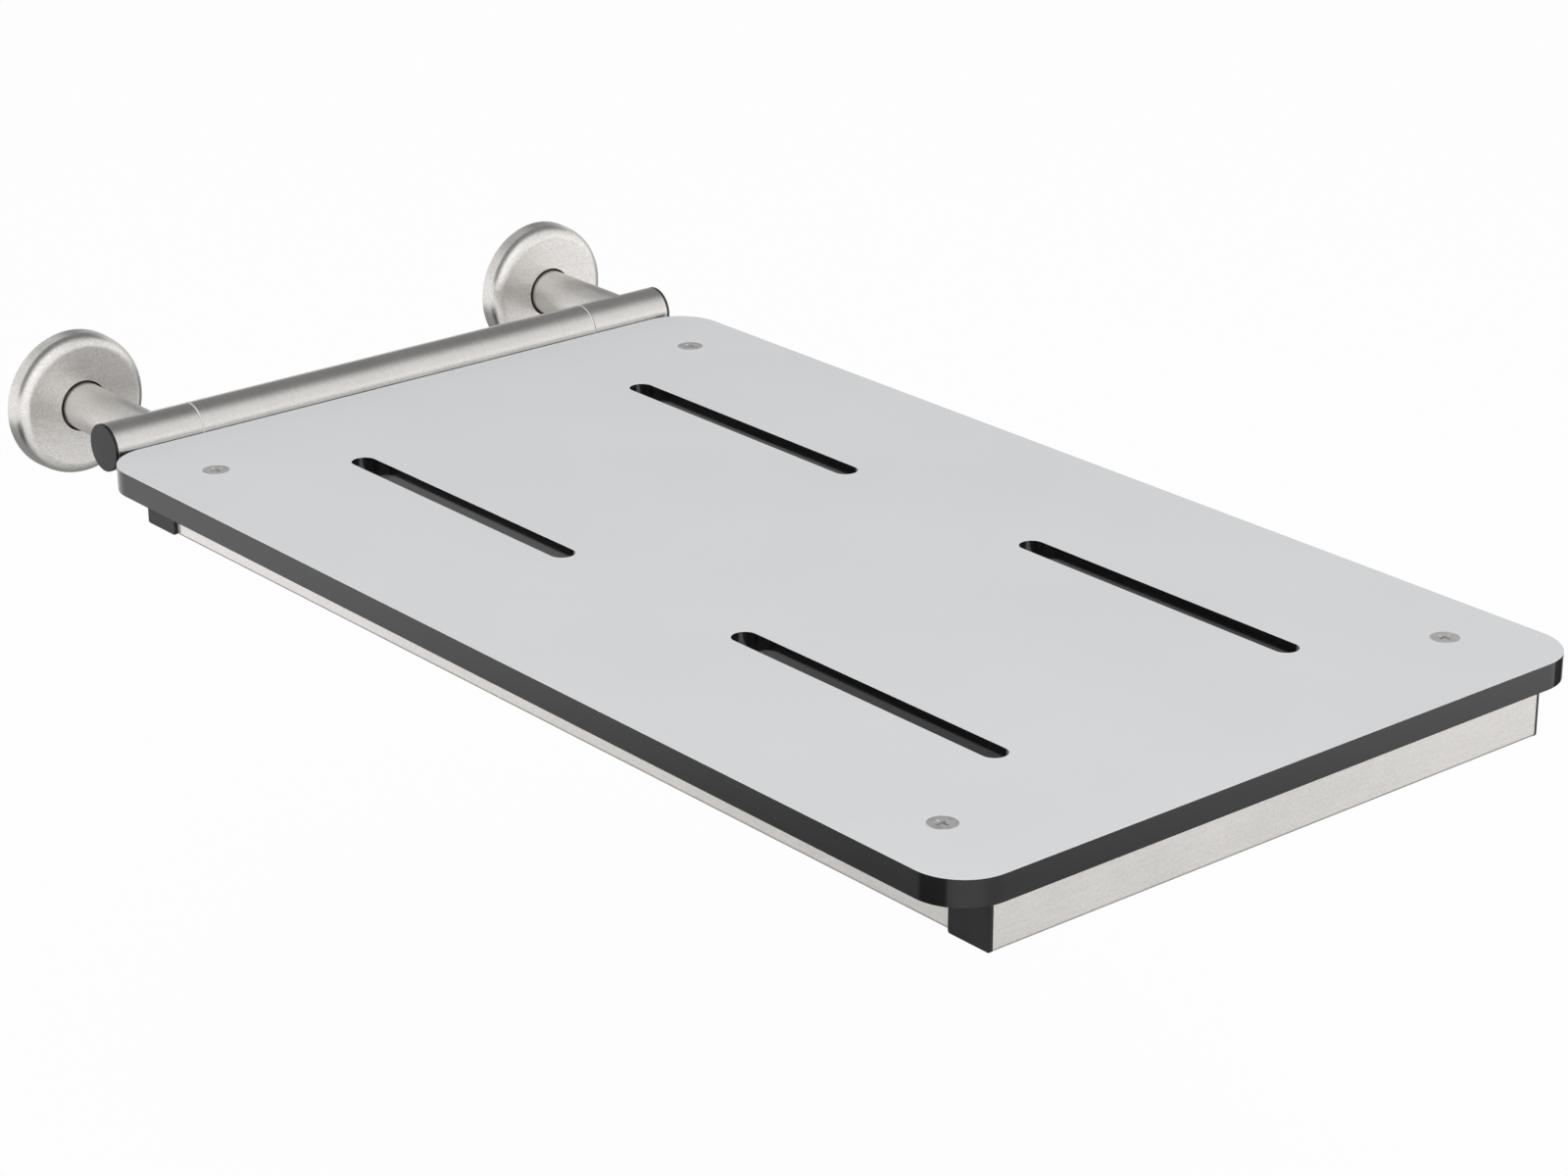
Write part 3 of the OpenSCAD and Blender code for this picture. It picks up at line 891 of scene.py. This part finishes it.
class MakePosts(bpy.types.Operator):
    """Makes the two posts, their front ends coped to the sleeves"""

    bl_idname = "tub_seat.posts"
    bl_label = "Posts"

    def execute(self, context):
        look = context.scene.tub_seat_steel
        reach = POST_HIGH.y - HINGE.y
        middle = (POST_LOW.x + POST_HIGH.x) / 2
        for name, side in SIDES.items():
            bm = pipe(POST_R, look.post_wall, 0, reach, 0, FINE_TURN_STEPS)
            lay(bm, (middle, POST_HIGH.y, 0), OFF_WALL, side)
            for vert in bm.verts:
                if vert.co.y < HINGE.y + MM:
                    rise = (TUBE_R - COPE_BITE) ** 2 - vert.co.z**2
                    vert.co.y = HINGE.y + math.sqrt(max(0, rise))
            post = name + "_coped_post"
            piece_of(post, bm, "wall_mount", "brushed_steel", [name + "_post"], "brushed_post_painted_bright")
        return {"FINISHED"}


COVER_TAPER = math.radians(2.5)
COVER_FOOT_EDGE = 0.2 * MM
COVER_HOLE_EDGE = 0.25 * MM


class MakeCovers(bpy.types.Operator):
    """Makes the two pressed flange covers"""

    bl_idname = "tub_seat.covers"
    bl_label = "Flange covers"

    def execute(self, context):
        look = context.scene.tub_seat_steel
        low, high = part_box("right_flange_cover")
        rear_r = (high.z - low.z) / 2
        hole_r = POST_R + look.cover_gap
        depth = high.y - low.y
        slope = math.tan(COVER_TAPER)
        inner_r = rear_r - look.cover_wall / math.cos(COVER_TAPER)
        inner = depth - look.cover_wall
        for name, side in SIDES.items():
            bm = turned([
                (rear_r, 0, COVER_FOOT_EDGE),
                (rear_r - depth * slope, depth, look.cover_round),
                (hole_r, depth, COVER_HOLE_EDGE),
                (hole_r, inner, COVER_HOLE_EDGE),
                (inner_r - inner * slope, inner, look.cover_round - look.cover_wall),
                (inner_r, 0, COVER_FOOT_EDGE),
            ], FINE_TURN_STEPS)
            lay(bm, ((low.x + high.x) / 2, high.y, 0), OFF_WALL, side)
            body, node = name + "_cover", name + "_flange_cover"
            piece_of(name + "_pressed_cover", bm, body, "brushed_steel", [node], "brushed_cover_painted_bright")
        return {"FINISHED"}


PLATE_EDGE = 0.4 * MM
PLATE_HOLE_TURNS = (45, 135, 225, 315)
PLATE_HOLE_STEPS = 40


class MakePlates(bpy.types.Operator):
    """Makes the two wall plates with their screw holes"""

    bl_idname = "tub_seat.plates"
    bl_label = "Wall plates"

    def execute(self, context):
        look = context.scene.tub_seat_steel
        low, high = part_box("right_wall_plate")
        ring_r = look.plate_circle / 2
        for name, side in SIDES.items():
            bm = bmesh.new()
            edges = circle(bm, (0, 0), (high.x - low.x) / 2, -PLATE_EDGE, TURN_STEPS)
            for turn in map(math.radians, PLATE_HOLE_TURNS):
                spot = (ring_r * math.cos(turn), ring_r * math.sin(turn))
                edges += circle(bm, spot, look.plate_hole / 2, -PLATE_EDGE, PLATE_HOLE_STEPS)
            slab(bm, edges, high.y - low.y, PLATE_EDGE, PLATE_EDGE)
            lay(bm, ((low.x + high.x) / 2, low.y, 0), OFF_WALL, side)
            plate = name + "_drilled_plate"
            piece_of(plate, bm, "wall_mount", "plain_steel", [name + "_wall_plate"], "mill_steel")
        return {"FINISHED"}


STEM_INSET = 1.6 * MM
STEM_CORNER = 0.6 * MM
STEM_EDGE = 0.2 * MM
STEM_GAP = 0.02 * MM
LIP_REAR_EDGE = 0.05 * MM


class MakePlugs(bpy.types.Operator):
    """Makes the four square plugs of the cross beams"""

    bl_idname = "tub_seat.plugs"
    bl_label = "Square plugs"

    def execute(self, context):
        look = context.scene.tub_seat_plastic
        stem = BEAM - 2 * STEM_INSET
        hollow = stem - 2 * look.stem_wall
        for end in ("rear", "front"):
            beam_low, beam_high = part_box(end + "_beam")
            middle = (beam_low + beam_high) / 2
            for name, side in SIDES.items():
                node = f"{end}_{name}_plug"
                inner, outer = sorted(abs(corner.x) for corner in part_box(node))
                lip = outer - beam_high.x
                bm = bmesh.new()
                edges = rounded_rectangle(bm, BEAM, BEAM, look.corner, -look.lip_round)
                slab(bm, edges, lip, look.lip_round, LIP_REAR_EDGE)
                top = -lip - STEM_GAP - STEM_EDGE
                edges = rounded_rectangle(bm, stem, stem, STEM_CORNER, top, SMALL_ARC_STEPS)
                edges += rounded_rectangle(bm, hollow, hollow, 0, top)
                slab(bm, edges, beam_high.x - inner - STEM_GAP, STEM_EDGE, STEM_EDGE)
                lay(bm, (outer, middle.y, middle.z), ALONG_X, side)
                plug = f"{end}_{name}_square_plug"
                piece_of(plug, bm, "seat", "black_plastic", [node], "moulded_black")
        return {"FINISHED"}


LUG_EDGE = 0.5 * MM
LUG_BELOW_BEAM = 0.5 * MM
LUG_WRAP = math.radians(45)
SADDLE_STEPS = 28


class MakeLugs(bpy.types.Operator):
    """Makes the two lugs that join the turning tube to the rear beam"""

    bl_idname = "tub_seat.lugs"
    bl_label = "Hinge lugs"

    def execute(self, context):
        wrap = TUBE_R * math.sin(LUG_WRAP)
        foot = -math.sqrt((TUBE_R + FIT) ** 2 - wrap**2)
        turn = -LUG_WRAP - math.atan2(foot, -wrap)
        for name in SIDES:
            low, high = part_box(name + "_hinge_lug")
            bm = bmesh.new()
            arc_start = bm.verts.new((-wrap, foot, -LUG_EDGE))
            bmesh.ops.spin(
                bm, geom=[arc_start], axis=(0, 0, 1), cent=(0, 0, -LUG_EDGE), angle=turn,
                steps=SADDLE_STEPS, use_duplicate=False,
            )
            arc_end = max(bm.verts, key=lambda vert: vert.co.x)
            front, rear = low.y - HINGE.y, high.y - HINGE.y
            top = min(high.z - HINGE.z, BEAM_HIGH.z - LUG_BELOW_BEAM)
            corners = [(rear, -rear), (front, low.z), (front, top), (-wrap, top)]
            verts = [arc_end] + [bm.verts.new((*corner, -LUG_EDGE)) for corner in corners] + [arc_start]
            for pair in zip(verts, verts[1:]):
                bm.edges.new(pair)
            slab(bm, bm.edges[:], high.x - low.x, LUG_EDGE, LUG_EDGE)
            lay(bm, (high.x, HINGE.y, HINGE.z), ON_EDGE)
            lug = name + "_saddle_lug"
            piece_of(lug, bm, "seat", "plain_steel", [name + "_hinge_lug"], "mill_steel")
        return {"FINISHED"}


BEAD_PITCH = 0.55 * MM
BEAD_SIDES = 12
BEAD_END = 0.35
BEAD_RIPPLE = 0.9
BEAD_INSET = 1.5 * MM
# What grinding leaves of the beads under the frame and outside it
FOOT_SHARE = 0.2
SIDE_SHARE = 0.12
LUG_BEAD_SHARE = 0.85
LUG_BEAD_LENGTH = 19 * MM
LUG_BEAD_OFF = 0.3 * MM
LUG_BEAD_WRAP = math.radians(43)
ALONG_RIGHT, TO_WALL, UP = (1, 0, 0), (0, 1, 0), (0, 0, 1)


def swell(bm, verts, middle, factor):
    bmesh.ops.transform(bm, matrix=about(middle, Matrix.Scale(factor, 4)), verts=verts)


def bead(bm, start, run, step, steps, radius, closed=False, flat=None):
    """Lays a rippled weld bead that sets out along run and goes on step by step. flat is an axis, a level on
    it and the share that is left of the bead's height over that level."""
    turn = run.to_track_quat("Z", "Y").to_matrix().to_4x4()
    made = bmesh.ops.create_circle(
        bm, segments=BEAD_SIDES, radius=radius, matrix=Matrix.Translation(start) @ turn
    )
    first = verts = list(made["verts"])
    every = list(verts)
    edges = edges_at(verts)
    middle = Vector(start)
    if not closed:
        swell(bm, verts, middle, BEAD_END)
    for count in range(1, steps + 1):
        verts, edges = extruded(bm, edges)
        bmesh.ops.transform(bm, matrix=step, verts=verts)
        middle = step @ middle
        if count == 1 and not closed:
            swell(bm, verts, middle, 1 / BEAD_END)
        if count < steps or closed:
            swell(bm, verts, middle, BEAD_RIPPLE if count % 2 else 1 / BEAD_RIPPLE)
        every += verts
    if closed:
        bmesh.ops.remove_doubles(bm, verts=first + verts, dist=radius / 50)
        return
    swell(bm, verts, middle, BEAD_END)
    mine = set(every)
    ends = [edge for edge in bm.edges if edge.is_boundary and edge.verts[0] in mine]
    bmesh.ops.holes_fill(bm, edges=ends, sides=BEAD_SIDES)
    if flat:
        axis, level, left = flat
        for vert in every:
            vert.co[axis] = level + (vert.co[axis] - level) * left


def straight_bead(bm, start, along, reach, radius, flat=None):
    steps = max(8, round(reach / BEAD_PITCH))
    run = Vector(along)
    bead(bm, start, run, Matrix.Translation(run * (reach / steps)), steps, radius, flat=flat)


def round_bead(bm, start, axis, centre, angle, radius):
    """Lays a bead round an axis through a centre. One that goes right round closes on itself."""
    arm = Vector(start) - centre
    steps = 2 * max(4, round(angle * arm.length / BEAD_PITCH / 2))
    step = about(centre, Matrix.Rotation(angle / steps, 4, axis))
    bead(bm, start, Vector(axis).cross(arm), step, steps, radius, closed=angle == math.tau)


class MakeWelds(bpy.types.Operator):
    """Makes the weld beads of the frame, the lugs and the posts"""

    bl_idname = "tub_seat.welds"
    bl_label = "Welds"

    def execute(self, context):
        radius = context.scene.tub_seat_steel.bead
        bm = bmesh.new()
        low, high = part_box("right_side_beam")
        foot = BEAM_LOW.z
        run = BEAM - 2 * BEAD_INSET
        for side in BOTH:
            inner, outer = side * low.x, side * high.x
            left = min(inner, outer) + BEAD_INSET
            for y in (low.y, high.y):
                straight_bead(bm, (inner, y, foot + BEAD_INSET), UP, run, radius)
                straight_bead(bm, (left, y, foot), ALONG_RIGHT, run, radius, (2, foot, FOOT_SHARE))
                straight_bead(bm, (outer, y, foot + BEAD_INSET), UP, run, radius, (0, outer, SIDE_SHARE))
        reach = (TUBE_R + LUG_BEAD_OFF) * math.sin(LUG_BEAD_WRAP)
        thin = radius * LUG_BEAD_SHARE
        for name in SIDES:
            low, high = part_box(name + "_hinge_lug")
            for x in (low.x, high.x):
                straight_bead(bm, (x, low.y, low.z + MM), UP, LUG_BEAD_LENGTH, thin)
                start = (x, HINGE.y - reach, HINGE.z - reach)
                centre = Vector((x, HINGE.y, HINGE.z))
                round_bead(bm, start, ALONG_RIGHT, centre, 2 * LUG_BEAD_WRAP, thin)
        piece_of("frame_weld_beads", bm, "seat", "plain_steel", [], "weld_steel")
        ring = bmesh.new()
        plate_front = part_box("right_wall_plate")[0].y
        for side in BOTH:
            centre = Vector((side * (POST_LOW.x + POST_HIGH.x) / 2, plate_front, 0))
            round_bead(ring, centre + Vector((POST_R, 0, 0)), TO_WALL, centre, math.tau, radius)
        piece_of("post_weld_beads", ring, "wall_mount", "plain_steel", [], "weld_steel")
        return {"FINISHED"}


KEPT_NODES = {
    "brushed_cross_painted_bright": ("rear_beam", "front_beam"),
    "brushed_side_painted_bright": ("left_side_beam", "right_side_beam"),
    "mill_steel": ("left_shaft_collar", "right_shaft_collar", "hinge_shaft", "weld_nuts"),
    "satin_screw": ("shaft_screws",),
}


class FinishFrame(bpy.types.Operator):
    """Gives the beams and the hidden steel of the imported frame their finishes"""

    bl_idname = "tub_seat.frame_finish"
    bl_label = "Frame finishes"

    def execute(self, context):
        for finish, nodes in KEPT_NODES.items():
            for node in nodes:
                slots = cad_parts[node].data.materials
                slots.clear()
                slots.append(finish_named(finish))
        return {"FINISHED"}


# Stage: a ramp is where a zone of the room begins and where it is full, along one axis of a direction

CAMERA_AT = (-1.1555, -1.7765, 0.6962)
CAMERA_TILT = 68.174
CAMERA_TURN = -40.039
CAMERA_LENS = 92.53
FILM_WIDTH = 36.0
LAMP_AT = (-0.9, -1.35, 2.4)
LAMP_AIM = (0.0, -0.4, 0.0)

FRONT_RAMP = (0.1, -0.65)
LEFT_RAMP = (0.35, -0.3)
WINDOW_RAMPS = ((0.5, 0.15), (0.3, 0.7), (0.8, 0.5))
SIDE_RAMPS = ((0.6, 0.85), (-0.6, -0.2), (-0.2, -0.05))
SIDE_TOP_RAMP = (0.55, 0.4)
REAR_RAMPS = ((0.45, 0.65), (-0.3, 0.1))
ABOVE_RAMP = (0.05, 0.3)
LEVEL_RAMP = (-0.455, -0.355)
FRONT_LIFT = 0.2
TABLE_LEFT = 0.4
LEFT_PATCH = {"aim": (-0.89, 0.12, -0.44), "ramp": (0.885, 0.92), "dark": 0.8}
LEFT_PATCH_TOP_RAMP = (-0.38, -0.42)
RIGHT_PATCH = {"aim": (0.923, -0.05, -0.383), "ramp": (0.945, 0.968), "dark": 0.85}


class MakeStage(bpy.types.Operator):
    """Makes the floor, the light and the camera"""

    bl_idname = "tub_seat.stage"
    bl_label = "Stage"

    def execute(self, context):
        scene = context.scene
        look = scene.tub_seat_stage
        scene.view_settings.view_transform = "Standard"
        bm = bmesh.new()
        bmesh.ops.create_grid(bm, x_segments=1, y_segments=1, size=look.floor_size / 2)
        bmesh.ops.translate(bm, vec=(0, 0, -look.floor_drop), verts=bm.verts)
        mesh = bpy.data.meshes.new("floor")
        bm.to_mesh(mesh)
        bm.free()
        mesh.materials.append(finish_named("floor_white"))
        floor = put_in_scene("floor", mesh)
        floor.visible_glossy = False
        scene.world = bpy.data.worlds.new("white_room")
        self.room_light(Finish(scene.world), look)
        light = bpy.data.lights.new("overhead_softbox", "AREA")
        light.shape, light.size, light.energy = "SQUARE", look.lamp_size, look.lamp_power
        lamp = put_in_scene("overhead_softbox", light)
        lamp.location = LAMP_AT
        lamp.rotation_euler = (Vector(LAMP_AIM) - lamp.location).to_track_quat("-Z", "Y").to_euler()
        lamp.visible_glossy = False
        lens = bpy.data.cameras.new("photo_camera")
        lens.sensor_fit, lens.sensor_width, lens.lens = "HORIZONTAL", FILM_WIDTH, CAMERA_LENS
        lens.clip_start, lens.clip_end = 0.05, 100.0
        camera = put_in_scene("photo_camera", lens)
        camera.location = CAMERA_AT
        camera.rotation_euler = (math.radians(CAMERA_TILT), 0.0, math.radians(CAMERA_TURN))
        scene.camera = camera
        return {"FINISHED"}

    def room_light(self, finish, look):
        """Lights the object from a room of bright and dark zones, and shows the camera plain white."""
        direction = finish.node("ShaderNodeTexCoord", out="Generated")
        right, back, up = axes = [finish.axis(direction, name) for name in "XYZ"]

        def zone(ramps):
            first, *others = [finish.range(axis, *ramp) for axis, ramp in zip(axes, ramps)]
            return math.prod(others, start=first)

        def patch(aim, ramp, dark):
            return finish.range(finish.facing(direction, aim), *ramp) * dark

        front = finish.range(back, *FRONT_RAMP)
        left = finish.range(right, *LEFT_RAMP)
        side = zone(SIDE_RAMPS)
        bright = look.room_light + left * look.left_light
        above = look.room_dark + front * (bright - look.room_dark) + zone(WINDOW_RAMPS) * look.window
        above = above + side * finish.range(up, *SIDE_TOP_RAMP) * look.side_light
        level = look.horizon + front * FRONT_LIFT + side * look.side_light
        level = level * (1.0 - look.rear_shade * zone(REAR_RAMPS))
        level = level + finish.range(up, *ABOVE_RAMP) * (above - level)
        below = look.underneath + front * (look.table + left * TABLE_LEFT)
        room = below + finish.range(up, *LEVEL_RAMP) * (level - below)
        room = room * (1.0 - patch(**LEFT_PATCH) * finish.range(up, *LEFT_PATCH_TOP_RAMP))
        room = room * (1.0 - patch(**RIGHT_PATCH))
        seen = finish.ray("Camera")
        strength = seen + (1.0 - seen) * room
        light = finish.node("ShaderNodeBackground", values={"Color": WHITE, "Strength": strength})
        finish.node("ShaderNodeOutputWorld", values={"Surface": light})


STEPS = (
    MakeBoard, MakeScrews, MakeHingeTube, MakeSleeves, MakeBushes, MakeCaps, MakePosts, MakeCovers,
    MakePlates, MakePlugs, MakeLugs, MakeWelds, FinishFrame, MakeStage,
)


class TubSeatPanel(bpy.types.Panel):
    """Lists the looks and the steps of the tub seat"""

    bl_idname = "VIEW3D_PT_tub_seat"
    bl_label = "Tub seat"
    bl_space_type = "VIEW_3D"
    bl_region_type = "UI"
    bl_category = "Tub seat"

    def draw(self, context):
        for name, look in LOOKS.items():
            box = self.layout.box()
            for prop in look.__annotations__:
                box.prop(getattr(context.scene, name), prop)
        for step in STEPS:
            self.layout.operator(step.bl_idname)


CLASSES = (*LOOKS.values(), *STEPS, TubSeatPanel)


def register():
    for kind in CLASSES:
        bpy.utils.register_class(kind)
    for name, look in LOOKS.items():
        setattr(bpy.types.Scene, name, bpy.props.PointerProperty(type=look))


def unregister():
    for name in LOOKS:
        delattr(bpy.types.Scene, name)
    for kind in reversed(CLASSES):
        bpy.utils.unregister_class(kind)


def main():
    register()
    for step in STEPS:
        group, name = step.bl_idname.split(".")
        getattr(getattr(bpy.ops, group), name)()


if __name__ == "__main__":
    main()
